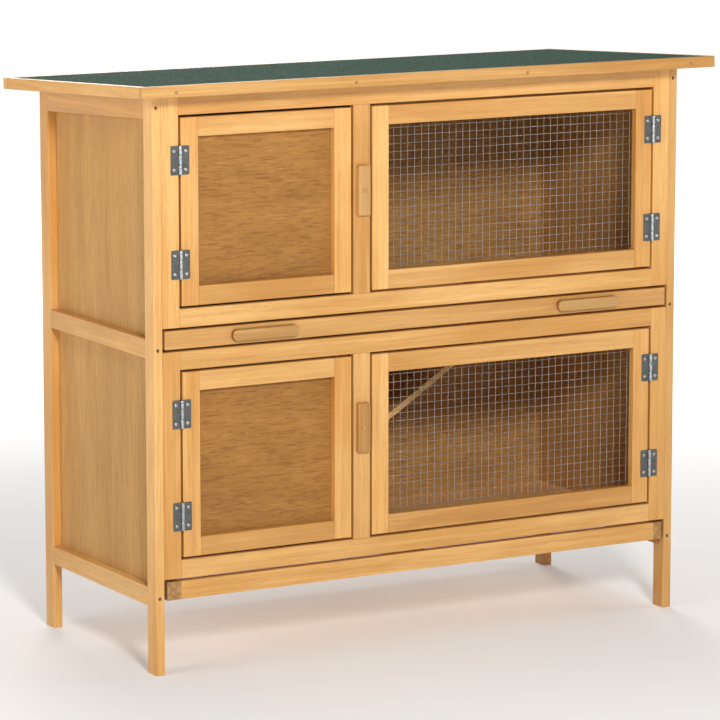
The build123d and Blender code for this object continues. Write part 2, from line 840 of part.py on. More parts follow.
with BuildPart() as ramp_cleats:
    cleat_n = int((ramp_len - cleat_first - cleat_w) / cleat_step)
    with BuildSketch(ramp_plane.offset(ramp_t / 2)):
        with Locations(*[(cleat_first + k * cleat_step, 0) for k in range(cleat_n + 1)]):
            Rectangle(cleat_w, ramp_w - 2 * cleat_end)
    extrude(amount=cleat_h)
ramp_cleats.part.label = "ramp_cleats"
export_step(ramp_cleats.part, "parts/ramp_cleats.step")

with BuildPart() as ramp_head:
    with BuildSketch(ramp_plane.offset(-ramp_head_s / 2)):
        Rectangle(ramp_head_s, ramp_w)
    extrude(amount=ramp_head_s)
    with BuildSketch(Plane.XZ.offset(-ramp_y0)):
        with Locations((ramp_x, ramp_z)):
            Circle(rod_r + run_fit)
    extrude(amount=-ramp_w, mode=Mode.SUBTRACT)
ramp_head.part.label = "ramp_head"
export_step(ramp_head.part, "parts/ramp_head.step")

bracket_l = ramp_bearer_x - ramp_x + rod_r + 4
bracket_x = ramp_bearer_x - bracket_l / 2
bracket_off = bracket_gap + bracket_t / 2
with BuildPart() as ramp_rod:
    with BuildSketch(Plane.XZ.offset(bracket_gap + bracket_t + 0.75 - ramp_y0)):
        with Locations((ramp_x, ramp_z)):
            Circle(rod_r)
    extrude(amount=-(ramp_w + 2 * (bracket_gap + bracket_t + 0.75)))
    with Locations(
        (bracket_x, ramp_y0 - bracket_off, ramp_z),
        (bracket_x, ramp_y1 + bracket_off, ramp_z),
    ):
        Box(bracket_l, bracket_t, bracket_h)
ramp_rod.part.label = "ramp_rod"
export_step(ramp_rod.part, "parts/ramp_rod.step")

# ------------------------------------------------------------------------- roof
# Flat board nailed down on the posts and rails, falling gently to the back, with
# mineral felt on top and a softwood trim round all four edges.
roof_plane = Plane(
    origin=(0, 0, roof_z(0)),
    x_dir=(1, 0, 0),
    z_dir=(0, sin(radians(roof_angle)), cos(radians(roof_angle))),
)
roof_w = body_w + 2 * overhang_x
roof_d = (body_d + 2 * overhang_y) / cos(radians(roof_angle))
inner_roof_w = roof_w - 2 * trim_t
inner_roof_d = roof_d - 2 * trim_t
trim_h = roof_board_t + felt_t
nail_xs = [k * nail_step + nail_shift for k in (-1.5, -0.5, 0.5, 1.5)]
nail_hole = nail_t + 2 * fit
with BuildPart() as roof_board:
    with BuildSketch(roof_plane):
        Rectangle(inner_roof_w, inner_roof_d)
    extrude(amount=roof_board_t)
    with BuildSketch(roof_plane.offset(roof_board_t / 2)):
        with Locations(*[(x, s * (roof_d / 2 - nail_l / 2)) for x in nail_xs for s in (-1, 1)]):
            Rectangle(nail_hole, nail_l + 2 * fit)
    extrude(amount=nail_hole / 2, both=True, mode=Mode.SUBTRACT)
roof_board.part.label = "roof_board"
export_step(roof_board.part, "parts/roof_board.step")

with BuildPart() as roof_felt:
    with BuildSketch(roof_plane.offset(roof_board_t)):
        Rectangle(inner_roof_w, inner_roof_d)
    extrude(amount=felt_t)
roof_felt.part.label = "roof_felt"
export_step(roof_felt.part, "parts/roof_felt.step")


def long_trim(side):
    with BuildPart() as made:
        with BuildSketch(roof_plane):
            with Locations((0, side * (roof_d - trim_t) / 2)):
                Rectangle(roof_w, trim_t)
        extrude(amount=trim_h)
        with BuildSketch(roof_plane.offset(roof_board_t / 2)):
            with Locations(*[(x, side * (roof_d - trim_t) / 2) for x in nail_xs]):
                Rectangle(nail_hole, trim_t)
        extrude(amount=nail_hole / 2, both=True, mode=Mode.SUBTRACT)
    return made.part


roof_trim_front = long_trim(-1)
roof_trim_front.label = "roof_trim_front"
export_step(roof_trim_front, "parts/roof_trim_front.step")

roof_trim_back = long_trim(1)
roof_trim_back.label = "roof_trim_back"
export_step(roof_trim_back, "parts/roof_trim_back.step")

with BuildPart() as roof_trim_sides:
    with BuildSketch(roof_plane):
        with Locations(((roof_w - trim_t) / -2, 0), ((roof_w - trim_t) / 2, 0)):
            Rectangle(trim_t, inner_roof_d)
    extrude(amount=trim_h)
roof_trim_sides.part.label = "roof_trim_sides"
export_step(roof_trim_sides.part, "parts/roof_trim_sides.step")

# Cut nails through the long trims into the edge of the board, heads just proud.
with BuildPart() as roof_nails:
    with BuildSketch(roof_plane.offset(roof_board_t / 2)):
        with Locations(*[(x, s * (roof_d / 2 - nail_l / 2)) for x in nail_xs for s in (-1, 1)]):
            Rectangle(nail_t, nail_l)
    extrude(amount=nail_t / 2, both=True)
    with BuildSketch(roof_plane.offset(roof_board_t / 2)):
        with Locations(*[(x, s * (roof_d + nail_head_t) / 2) for x in nail_xs for s in (-1, 1)]):
            Rectangle(nail_head, nail_head_t)
    extrude(amount=nail_head / 2, both=True)
roof_nails.part.label = "roof_nails"
export_step(roof_nails.part, "parts/roof_nails.step")
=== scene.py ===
import json
import math
import random

import bmesh
import bpy
from mathutils import Matrix, Vector

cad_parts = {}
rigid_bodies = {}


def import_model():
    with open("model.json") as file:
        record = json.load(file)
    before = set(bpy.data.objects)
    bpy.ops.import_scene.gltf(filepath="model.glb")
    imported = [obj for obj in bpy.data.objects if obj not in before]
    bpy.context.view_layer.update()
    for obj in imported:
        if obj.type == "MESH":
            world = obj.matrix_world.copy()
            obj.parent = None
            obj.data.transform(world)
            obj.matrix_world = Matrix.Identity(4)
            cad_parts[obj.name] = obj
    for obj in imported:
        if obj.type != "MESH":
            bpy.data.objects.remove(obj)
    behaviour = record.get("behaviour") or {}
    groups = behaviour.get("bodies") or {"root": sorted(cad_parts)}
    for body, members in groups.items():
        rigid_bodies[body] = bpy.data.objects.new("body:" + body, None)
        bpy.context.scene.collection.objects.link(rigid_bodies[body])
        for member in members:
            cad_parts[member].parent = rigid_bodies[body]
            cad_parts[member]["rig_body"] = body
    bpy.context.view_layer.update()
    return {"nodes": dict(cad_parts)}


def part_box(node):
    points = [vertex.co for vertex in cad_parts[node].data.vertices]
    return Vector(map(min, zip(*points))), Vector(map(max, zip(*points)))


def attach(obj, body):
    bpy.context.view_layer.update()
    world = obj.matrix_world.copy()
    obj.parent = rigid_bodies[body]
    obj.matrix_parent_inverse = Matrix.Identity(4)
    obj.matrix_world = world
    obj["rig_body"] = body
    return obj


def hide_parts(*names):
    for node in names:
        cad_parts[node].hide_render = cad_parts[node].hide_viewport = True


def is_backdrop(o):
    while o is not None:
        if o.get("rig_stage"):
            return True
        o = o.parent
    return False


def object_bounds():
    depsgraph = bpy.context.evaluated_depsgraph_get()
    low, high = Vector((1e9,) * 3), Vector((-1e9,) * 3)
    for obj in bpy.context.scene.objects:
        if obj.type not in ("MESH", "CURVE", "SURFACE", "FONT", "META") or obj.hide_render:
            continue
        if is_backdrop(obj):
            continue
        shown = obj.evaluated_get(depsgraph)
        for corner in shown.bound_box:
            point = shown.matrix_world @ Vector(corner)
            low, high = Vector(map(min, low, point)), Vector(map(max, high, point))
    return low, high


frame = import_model()

# ---------------------------------------------------------------- studio
# Plain pale floor that grows brighter away from the hutch, under a dim even sky. A soft
# key lamp hangs high in front, with weaker ones to the sides, behind and above. The
# camera is a long lens that looks down about ten degrees.
FLOOR_HALF = 60.0
FLOOR_PALE = (0.78, 0.78, 0.78, 1)
FLOOR_ROUGH = 0.9
FLOOR_CELLS = 4
GLOW_NEAR = 0.16
GLOW_FAR = 0.88
GLOW_FROM = 0.7
GLOW_TO = 3.6
SKY_STRENGTH = 0.17
CAMERA_AT = (-3.1924, -5.5974, 1.5247)
CAMERA_DOWN = 9.6508
CAMERA_ROUND = -29.7206
CAMERA_LENS = 199.6
CAMERA_SENSOR = 36.0
CAMERA_SHIFT = -0.004
CAMERA_SEES = 300.0

bm = bmesh.new()
bmesh.ops.create_grid(bm, x_segments=FLOOR_CELLS, y_segments=FLOOR_CELLS, size=FLOOR_HALF)
floor_mesh = bpy.data.meshes.new("studio_floor")
bm.to_mesh(floor_mesh)
bm.free()
studio_floor = bpy.data.objects.new("studio_floor", floor_mesh)
bpy.context.scene.collection.objects.link(studio_floor)
studio_floor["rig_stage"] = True
floor_paint = bpy.data.materials.new("studio_floor_paint")
floor_paint.use_nodes = True
paint = floor_paint.node_tree.nodes["Principled BSDF"]
paint.inputs["Base Color"].default_value = FLOOR_PALE
paint.inputs["Roughness"].default_value = FLOOR_ROUGH
paint.inputs["Emission Color"].default_value = (1, 1, 1, 1)
place = floor_paint.node_tree.nodes.new("ShaderNodeTexCoord")
away = floor_paint.node_tree.nodes.new("ShaderNodeVectorMath")
away.operation = "LENGTH"
floor_paint.node_tree.links.new(place.outputs["Object"], away.inputs[0])
glow = floor_paint.node_tree.nodes.new("ShaderNodeMapRange")
glow.interpolation_type = "SMOOTHSTEP"
glow.inputs["From Min"].default_value = GLOW_FROM
glow.inputs["From Max"].default_value = GLOW_TO
glow.inputs["To Min"].default_value = GLOW_NEAR
glow.inputs["To Max"].default_value = GLOW_FAR
floor_paint.node_tree.links.new(away.outputs["Value"], glow.inputs["Value"])
floor_paint.node_tree.links.new(glow.outputs["Result"], paint.inputs["Emission Strength"])
studio_floor.data.materials.append(floor_paint)

sky = bpy.data.worlds.new("studio_sky")
sky.use_nodes = True
sky.node_tree.nodes["Background"].inputs["Color"].default_value = (1.0, 1.0, 1.0, 1)
sky.node_tree.nodes["Background"].inputs["Strength"].default_value = SKY_STRENGTH
bpy.context.scene.world = sky
bpy.context.scene.view_settings.view_transform = "Standard"


def soft_lamp(name, place, aim, size, watts, tint):
    lamp = bpy.data.lights.new(name, "AREA")
    lamp.shape = "DISK"
    lamp.size = size
    lamp.energy = watts
    lamp.color = tint
    holder = bpy.data.objects.new(name, lamp)
    holder.location = place
    holder.rotation_euler = (Vector(aim) - Vector(place)).to_track_quat("-Z", "Y").to_euler()
    bpy.context.scene.collection.objects.link(holder)


soft_lamp("key_lamp", (-1.6, -5.0, 2.75), (0, 0, 0.45), 0.9, 211, (1.0, 0.98, 0.95))
soft_lamp("left_lamp", (-5.2, -0.6, 1.8), (0, 0, 0.5), 2.6, 88, (1.0, 0.98, 0.95))
soft_lamp("right_lamp", (5.0, -1.6, 2.0), (0, 0, 0.5), 2.6, 46, (0.98, 0.99, 1.0))
soft_lamp("back_lamp", (1.6, 5.0, 2.3), (0, 0, 0.5), 2.6, 122, (1.0, 0.99, 0.97))
soft_lamp("top_lamp", (0.4, 0.8, 4.4), (0, 0, 0.6), 2.8, 40, (1.0, 1.0, 1.0))

lens = bpy.data.cameras.new("studio_camera")
lens.lens = CAMERA_LENS
lens.sensor_width = CAMERA_SENSOR
lens.shift_x = CAMERA_SHIFT
lens.clip_end = CAMERA_SEES
camera = bpy.data.objects.new("studio_camera", lens)
camera.location = CAMERA_AT
camera.rotation_euler = (math.radians(90.0 - CAMERA_DOWN), 0, math.radians(CAMERA_ROUND))
bpy.context.scene.collection.objects.link(camera)
bpy.context.scene.camera = camera

# ---------------------------------------------------------------- corner posts
# Four planed fir posts, honey-stained, their long corners eased with a block plane.
# Counterbored holes in the front and back faces hold the frame screws.
FIR_LIGHT = (0.78, 0.450, 0.150, 1)
FIR_DEEP = (0.66, 0.330, 0.078, 1)
FIR_LATE = (0.50, 0.230, 0.050, 1)
FIR_STREAK = (0.86, 0.53, 0.200, 1)
FIR_DULL = (0.72, 0.60, 0.48, 1)
FIR_FIBRE = (0.66, 0.52, 0.38, 1)
FIR_BOARD = (0.86, 0.79, 0.68, 1)
GRAIN_TURN = (15, 75)
LINES_ACROSS = (30, 40)
LINES_SQUEEZE = 0.045
LINE_TWIST = 7.0
LINE_JAG = 14.0
FIBRE_SCALE = 620
FIBRE_SQUEEZE = 0.016
STREAK_SCALE = 85
STREAK_SQUEEZE = 0.03
BLOTCH_SCALE = 7.5
BLOTCH_SQUEEZE = 0.35
BOARD_SCALE = 5.0
BOARD_SQUEEZE = 0.02
GRAIN_RELIEF = 0.35
GRAIN_DEPTH = 0.0004
FIR_COAT = 0.12
FIR_COAT_ROUGH = 0.35
FIR_ROUGH = (0.42, 0.60)
FIBRE_SHARE = 0.6
PATTERN_SHIFT = 4
FACE_WEIGHT = 100
SAME_POINT = 1e-6
FLAT_WITHIN = math.radians(0.4)
CORNER_OVER = math.radians(50)
PLANED_EASE = 0.0009
SHORT_EDGE = 0.012
POST_TONES = {"front_left": 1.0, "front_right": 0.86, "back_left": 0.97, "back_right": 0.92}


def link(tree, a, out, b, into):
    tree.links.new(a.outputs[out], b.inputs[into])


def mixed(tree, mode, fac, a, b):
    """A colour mix; fac, a and b are (node, socket) pairs or plain values."""
    mix = tree.nodes.new("ShaderNodeMix")
    mix.data_type = "RGBA"
    mix.blend_type = mode
    for key, value in ((0, fac), (6, a), (7, b)):
        if isinstance(value, tuple) and hasattr(value[0], "outputs"):
            tree.links.new(value[0].outputs[value[1]], mix.inputs[key])
        else:
            mix.inputs[key].default_value = value
    return (mix, 2)


def eased_range(tree, source, low, high, to_low=0.0, to_high=1.0):
    span = tree.nodes.new("ShaderNodeMapRange")
    span.interpolation_type = "SMOOTHSTEP"
    span.inputs["From Min"].default_value = low
    span.inputs["From Max"].default_value = high
    span.inputs["To Min"].default_value = to_low
    span.inputs["To Max"].default_value = to_high
    tree.links.new(source[0].outputs[source[1]], span.inputs["Value"])
    return (span, "Result")


def placed(tree, run, squeeze, turn, shift):
    """Object coordinates with the run of the grain squeezed, turned about the grain."""
    place = tree.nodes.new("ShaderNodeTexCoord")
    turned = tree.nodes.new("ShaderNodeMapping")
    axis = "xyz".index(run)
    turned.inputs["Location"].default_value = shift
    spin = [0.0, 0.0, 0.0]
    spin[axis] = math.radians(turn)
    turned.inputs["Rotation"].default_value = spin
    size = [1.0, 1.0, 1.0]
    size[axis] = squeeze
    turned.inputs["Scale"].default_value = size
    link(tree, place, "Object", turned, "Vector")
    return turned


def grain_noise(tree, vector, scale, detail, rough, twist=0.0):
    noise = tree.nodes.new("ShaderNodeTexNoise")
    noise.inputs["Scale"].default_value = scale
    noise.inputs["Detail"].default_value = detail
    noise.inputs["Roughness"].default_value = rough
    noise.inputs["Distortion"].default_value = twist
    link(tree, vector, "Vector", noise, "Vector")
    return (noise, "Fac")


def fir(name, run, draw, tone):
    """Stained fir: growth lines, fibres and stain blotches along the run of a member."""
    made = bpy.data.materials.new(name)
    made.use_nodes = True
    tree = made.node_tree
    skin = tree.nodes["Principled BSDF"]
    dice = random.Random(draw)
    shift = tuple(dice.uniform(-PATTERN_SHIFT, PATTERN_SHIFT) for _ in range(3))
    angle = dice.uniform(*GRAIN_TURN)
    lengthwise = placed(tree, run, LINES_SQUEEZE, angle, shift)
    bands = tree.nodes.new("ShaderNodeTexWave")
    bands.wave_type = "BANDS"
    bands.bands_direction = {"x": "Y", "y": "Z", "z": "X"}[run]
    bands.wave_profile = "SAW"
    bands.inputs["Scale"].default_value = dice.uniform(*LINES_ACROSS)
    bands.inputs["Distortion"].default_value = LINE_TWIST
    bands.inputs["Detail"].default_value = 2.0
    bands.inputs["Detail Scale"].default_value = LINE_JAG
    bands.inputs["Detail Roughness"].default_value = 0.5
    link(tree, lengthwise, "Vector", bands, "Vector")
    late = eased_range(tree, (bands, "Fac"), 0.45, 1.0)
    fibres = grain_noise(
        tree, placed(tree, run, FIBRE_SQUEEZE, angle, shift), FIBRE_SCALE, 3, 0.6
    )
    streaks = grain_noise(
        tree, placed(tree, run, STREAK_SQUEEZE, angle, shift), STREAK_SCALE, 3, 0.55, 0.3
    )
    blotches = grain_noise(
        tree, placed(tree, run, BLOTCH_SQUEEZE, angle, shift), BLOTCH_SCALE, 3, 0.55
    )
    boards = grain_noise(
        tree, placed(tree, run, BOARD_SQUEEZE, angle, shift), BOARD_SCALE, 1, 0.5
    )
    deep = tuple(c * tone for c in FIR_DEEP[:3]) + (1,)
    pale = tuple(c * tone for c in FIR_LIGHT[:3]) + (1,)
    stained = mixed(tree, "MIX", eased_range(tree, blotches, 0.34, 0.68), pale, deep)
    base = mixed(tree, "MULTIPLY", eased_range(tree, boards, 0.40, 0.64), stained, FIR_BOARD)
    lined = mixed(tree, "MIX", eased_range(tree, late, 0, 1, 0.0, 0.30), base, FIR_LATE)
    bright = mixed(tree, "MIX", eased_range(tree, streaks, 0.52, 0.74, 0.0, 0.40), lined,
                   FIR_STREAK)
    dull = mixed(tree, "MULTIPLY", eased_range(tree, streaks, 0.47, 0.30, 0.0, 0.30), bright,
                 FIR_DULL)
    fine = mixed(tree, "MULTIPLY", eased_range(tree, fibres, 0.54, 0.36, 0.0, 0.26), dull,
                 FIR_FIBRE)
    tree.links.new(fine[0].outputs[fine[1]], skin.inputs["Base Color"])
    gloss = eased_range(tree, streaks, 0.3, 0.7, *FIR_ROUGH)
    tree.links.new(gloss[0].outputs[gloss[1]], skin.inputs["Roughness"])
    rise = tree.nodes.new("ShaderNodeMath")
    rise.operation = "MULTIPLY_ADD"
    tree.links.new(fibres[0].outputs[fibres[1]], rise.inputs[0])
    rise.inputs[1].default_value = FIBRE_SHARE
    tree.links.new(late[0].outputs[late[1]], rise.inputs[2])
    bump = tree.nodes.new("ShaderNodeBump")
    bump.inputs["Strength"].default_value = GRAIN_RELIEF
    bump.inputs["Distance"].default_value = GRAIN_DEPTH
    link(tree, rise, 0, bump, "Height")
    link(tree, bump, "Normal", skin, "Normal")
    skin.inputs["Coat Weight"].default_value = FIR_COAT
    skin.inputs["Coat Roughness"].default_value = FIR_COAT_ROUGH
    return made


def shown(name, bm, material, body):
    """A finished piece from a bmesh, with its material, riding on its body."""
    mesh = bpy.data.meshes.new(name)
    bm.to_mesh(mesh)
    bm.free()
    piece = bpy.data.objects.new(name, mesh)
    bpy.context.scene.collection.objects.link(piece)
    mesh.materials.append(material)
    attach(piece, body)
    return piece


def planed(node, material, ease=PLANED_EASE, shortest=SHORT_EDGE):
    """A CAD member with its long corners eased, standing for that node."""
    old = frame["nodes"][node]
    bm = bmesh.new()
    bm.from_mesh(old.data)
    bmesh.ops.remove_doubles(bm, verts=bm.verts, dist=SAME_POINT)
    bmesh.ops.dissolve_limit(bm, angle_limit=FLAT_WITHIN, verts=bm.verts, edges=bm.edges)
    corners = [
        e for e in bm.edges
        if len(e.link_faces) == 2
        and e.calc_length() > shortest
        and e.calc_face_angle(0) > CORNER_OVER
    ]
    bmesh.ops.bevel(
        bm, geom=corners, offset=ease, affect="EDGES", segments=2, profile=0.5,
        material=-1, clamp_overlap=True,
    )
    for face in bm.faces:
        face.smooth = True
    piece = shown(node + "_planed", bm, material, old["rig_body"])
    even = piece.modifiers.new("even_normals", "WEIGHTED_NORMAL")
    even.weight = FACE_WEIGHT
    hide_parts(node)


for draw, (post, tone) in enumerate(POST_TONES.items()):
    planed("leg_" + post, fir("fir_leg_" + post, "z", draw, tone))

# ---------------------------------------------------------------- frame screws
# Zinc-plated wood screws, sunk in the counterbores of the posts. Their colour is painted
# dark, a painted shade for the depth of their holes.
SCREW_PAINTED_SHADE = (0.16, 0.14, 0.12, 1)
GRIME_BROWN = (0.10, 0.07, 0.04, 1)
SPANGLE_SCALE = 380
SMUDGE_SCALE = 160
RUBBED_BY = 0.08
DULLED_BY = 0.12


def steel(name, colour, rough, mottle, dust=0.0, metal=1.0):
    """Plated steel with faint crystal mottling, rub marks and a little grime."""
    made = bpy.data.materials.new(name)
    made.use_nodes = True
    tree = made.node_tree
    skin = tree.nodes["Principled BSDF"]
    skin.inputs["Metallic"].default_value = metal
    even = placed(tree, "x", 1.0, 0, (0, 0, 0))
    spangle = tree.nodes.new("ShaderNodeTexVoronoi")
    spangle.inputs["Scale"].default_value = SPANGLE_SCALE
    link(tree, even, "Vector", spangle, "Vector")
    cloud = grain_noise(tree, even, SMUDGE_SCALE, 4, 0.6)
    dark = tuple(c * (1 - mottle) for c in colour[:3]) + (1,)
    shade = mixed(tree, "MIX", eased_range(tree, cloud, 0.35, 0.7), colour, dark)
    flake = mixed(tree, "MULTIPLY", mottle, shade, (spangle, "Color"))
    grime = mixed(tree, "MIX", eased_range(tree, cloud, 0.58, 0.75, 0.0, dust), flake,
                  GRIME_BROWN)
    tree.links.new(grime[0].outputs[grime[1]], skin.inputs["Base Color"])
    worn = eased_range(tree, cloud, 0.3, 0.7, rough - RUBBED_BY, rough + DULLED_BY)
    tree.links.new(worn[0].outputs[worn[1]], skin.inputs["Roughness"])
    return made


def finish(node, material):
    """Gives a CAD node, whose shape is kept, its own material."""
    slots = frame["nodes"][node].data.materials
    slots.clear()
    slots.append(material)


# The dark screw colour is painted shade for the counterbores.
finish("frame_screws", steel("sunk_screw_steel", SCREW_PAINTED_SHADE, 0.5, 0.3, 0.6))

# ---------------------------------------------------------------- side and back rails
# Fir rails between the posts, three to a side and three across the back, screwed and
# glued end to post and stained with them.
RAIL_TONE = 0.94

for draw, side in enumerate(("left", "right")):
    planed("side_rails_" + side, fir("fir_side_rails_" + side, "y", 10 + draw, RAIL_TONE))
planed("back_rails", fir("fir_back_rails", "x", 12, RAIL_TONE))

# ---------------------------------------------------------------- wall sheets
# Three-ply sheets with a rotary-cut face, stained browner than the fir. The grain runs
# upright on the sides and along the hutch on the back.
WALL_LIGHT = (0.58, 0.325, 0.108)
WALL_DEEP = (0.46, 0.240, 0.070)
INNER_LIGHT = (0.50, 0.275, 0.090)
INNER_DEEP = (0.36, 0.188, 0.056)
PLY_PORE = (0.58, 0.46, 0.36, 1)
PLY_FLECK = (1.30, 1.38, 1.50, 1)
PLY_CLOUDS = 17
PLY_CLOUD_SQUEEZE = 0.28
PLY_DASHES = 320
PLY_DASH_SQUEEZE = 0.11
PLY_PORES = 800
PLY_PORE_SQUEEZE = 0.06
PLY_FLECKS = 420
PLY_FLECK_SQUEEZE = 0.08
PLY_RELIEF = 0.3
PLY_DEPTH = 0.0003
PLY_ROUGH = 0.66
PLY_GLOSS = 0.35
PLY_EASE = 0.0004
WALL_FLECK = 0.55
WALL_STRETCH = 3.0


def plywood(name, run, draw, light, deep, fleck=1.0, stretch=1.0):
    """Rotary-cut ply: broken dashes of pore and pale fibre along the run of the sheet."""
    made = bpy.data.materials.new(name)
    made.use_nodes = True
    tree = made.node_tree
    skin = tree.nodes["Principled BSDF"]
    dice = random.Random(draw)
    shift = tuple(dice.uniform(-PATTERN_SHIFT, PATTERN_SHIFT) for _ in range(3))
    clouds = grain_noise(
        tree, placed(tree, run, PLY_CLOUD_SQUEEZE / stretch, 0, shift), PLY_CLOUDS, 4, 0.6, 0.5
    )
    dashes = grain_noise(
        tree, placed(tree, run, PLY_DASH_SQUEEZE / stretch, 0, shift), PLY_DASHES, 4, 0.66, 0.1
    )
    pores = grain_noise(
        tree, placed(tree, run, PLY_PORE_SQUEEZE, 0, shift), PLY_PORES, 2, 0.6
    )
    flecks = grain_noise(
        tree, placed(tree, run, PLY_FLECK_SQUEEZE / stretch, 0, shift), PLY_FLECKS, 2, 0.5
    )
    base = mixed(tree, "MIX", eased_range(tree, clouds, 0.22, 0.80), (*light, 1), (*deep, 1))
    dashed = mixed(tree, "MULTIPLY", eased_range(tree, dashes, 0.46, 0.66, 0.0, 0.62 * fleck),
                   base, PLY_PORE)
    pale = mixed(tree, "MULTIPLY", eased_range(tree, flecks, 0.54, 0.74, 0.0, 0.7 * fleck),
                 dashed, PLY_FLECK)
    pored = mixed(tree, "MULTIPLY", eased_range(tree, pores, 0.55, 0.72, 0.0, 0.6), pale,
                  PLY_PORE)
    tree.links.new(pored[0].outputs[pored[1]], skin.inputs["Base Color"])
    skin.inputs["Roughness"].default_value = PLY_ROUGH
    skin.inputs["Specular IOR Level"].default_value = PLY_GLOSS
    bump = tree.nodes.new("ShaderNodeBump")
    bump.inputs["Strength"].default_value = PLY_RELIEF
    bump.inputs["Distance"].default_value = PLY_DEPTH
    tree.links.new(dashes[0].outputs[dashes[1]], bump.inputs["Height"])
    link(tree, bump, "Normal", skin, "Normal")
    return made


for draw, side in enumerate(("left", "right")):
    sheet = plywood("ply_side_" + side, "z", 20 + draw, WALL_LIGHT, WALL_DEEP, WALL_FLECK,
                    WALL_STRETCH)
    planed("side_panels_" + side, sheet, PLY_EASE)
sheet = plywood("ply_back", "x", 22, INNER_LIGHT, INNER_DEEP)
planed("back_panels", sheet, PLY_EASE)

# ---------------------------------------------------------------- floor
# Two side members whose sawn ends show at the front, rails and a joist between them,
# and one thin ply board nailed down on top as the floor of the lower run.
RING_SCALE = 110
RING_HEART = (0.466, 0.0, -0.104)
RING_DARK = (0.50, 0.38, 0.26, 1)
RING_SQUEEZE = 0.02
RING_TWIST = 1.6
SAWN_PALE = (0.56, 0.38, 0.20, 1)
SAWN_TONE = 0.60
SAWN_EASE = 0.0007
SAWN_SCALE = 120
SAWN_SQUEEZE = 0.05
FLOOR_LIGHT = (0.84, 0.52, 0.22)
FLOOR_DEEP = (0.72, 0.40, 0.15)
FLOOR_FLECK = 0.5

sawn_fir = fir("fir_floor_sides", "y", 30, SAWN_TONE)
tree = sawn_fir.node_tree
skin = tree.nodes["Principled BSDF"]
stained = skin.inputs["Base Color"].links[0].from_node
rings = tree.nodes.new("ShaderNodeTexWave")
rings.wave_type = "RINGS"
rings.rings_direction = "Y"
rings.inputs["Scale"].default_value = RING_SCALE
rings.inputs["Distortion"].default_value = RING_TWIST
rings.inputs["Detail"].default_value = 2.0
link(tree, placed(tree, "y", RING_SQUEEZE, 0, RING_HEART), "Vector", rings, "Vector")
torn = grain_noise(tree, placed(tree, "y", SAWN_SQUEEZE, 0, RING_HEART), SAWN_SCALE, 3, 0.6)
ringed = mixed(tree, "MULTIPLY", eased_range(tree, (rings, "Fac"), 0.35, 0.80, 0.0, 0.6),
               (stained, 2), RING_DARK)
sawn = mixed(tree, "MIX", eased_range(tree, torn, 0.48, 0.60, 0.0, 0.45), ringed, SAWN_PALE)
tree.links.new(sawn[0].outputs[sawn[1]], skin.inputs["Base Color"])
planed("floor_sides", sawn_fir, SAWN_EASE)
planed("floor_rails", fir("fir_floor_rails", "x", 31, 0.97))
sheet = plywood("ply_floor", "x", 32, FLOOR_LIGHT, FLOOR_DEEP, FLOOR_FLECK)
planed("floor_board", sheet, PLY_EASE)

# ---------------------------------------------------------------- front frames
# One frame per storey: full-height stiles, rails between them and one upright. Each
# member has its own board's colour, and the joints show as fine lines.
for draw, storey in enumerate(("lower", "upper")):
    planed(storey + "_frame_stiles", fir("fir_%s_frame_stiles" % storey, "z", 40 + draw, 1.02))
    planed(storey + "_frame_rails", fir("fir_%s_frame_rails" % storey, "x", 42 + draw, 0.94))
    planed(storey + "_mullion", fir("fir_%s_mullion" % storey, "z", 44 + draw, 0.93))

# ---------------------------------------------------------------- doors
# Frames of two stiles with rails between them; solid doors have a ply sheet fixed on
# the back with its grain level.
DOOR_PLY_LIGHT = (0.40, 0.190, 0.042)
DOOR_PLY_DEEP = (0.29, 0.131, 0.026)

for draw, door in enumerate(("upper_left", "lower_left", "upper_right", "lower_right")):
    planed(door + "_door_stiles", fir("fir_%s_stiles" % door, "z", 50 + draw, 1.05))
    planed(door + "_door_rails", fir("fir_%s_rails" % door, "x", 54 + draw, 0.92))
for draw, door in enumerate(("upper_left", "lower_left")):
    sheet = plywood("ply_%s_panel" % door, "x", 58 + draw, DOOR_PLY_LIGHT, DOOR_PLY_DEEP)
    planed(door + "_door_panel", sheet, PLY_EASE)

# ---------------------------------------------------------------- wire grilles
# Half-inch welded mesh of round galvanised wire, upright wires in front and level ones
# welded behind them, stapled to the back of each right-hand door.
WIRE_PITCH = 0.0127
WIRE_LAYER = 0.0012
WIRE_WELD = 0.0001
WIRE_RADIUS = 0.00042
WIRE_SIDES = 6
WIRE_STEPS = 12
WIRE_WANDER = 0.00032
WIRE_WAVES = (1.2, 3.4)
WIRE_GREY = (0.38, 0.37, 0.345, 1)
STAPLE_STEP = 0.076
STAPLE_CROWN = 0.010
STAPLE_WIDE = 0.0012
STAPLE_THICK = 0.0009
STAPLE_LEG = 0.0040
STAPLE_EASE = 0.0003
STAPLE_INSET = 0.0056
STAPLE_TILT = 0.25

wire_zinc = steel("galvanised_wire", WIRE_GREY, 0.50, 0.15, 0.20, 0.45)


def edges_of(verts):
    """The edges round some vertices, each once and always in the same order."""
    return list(dict.fromkeys(e for v in verts for e in v.link_edges))


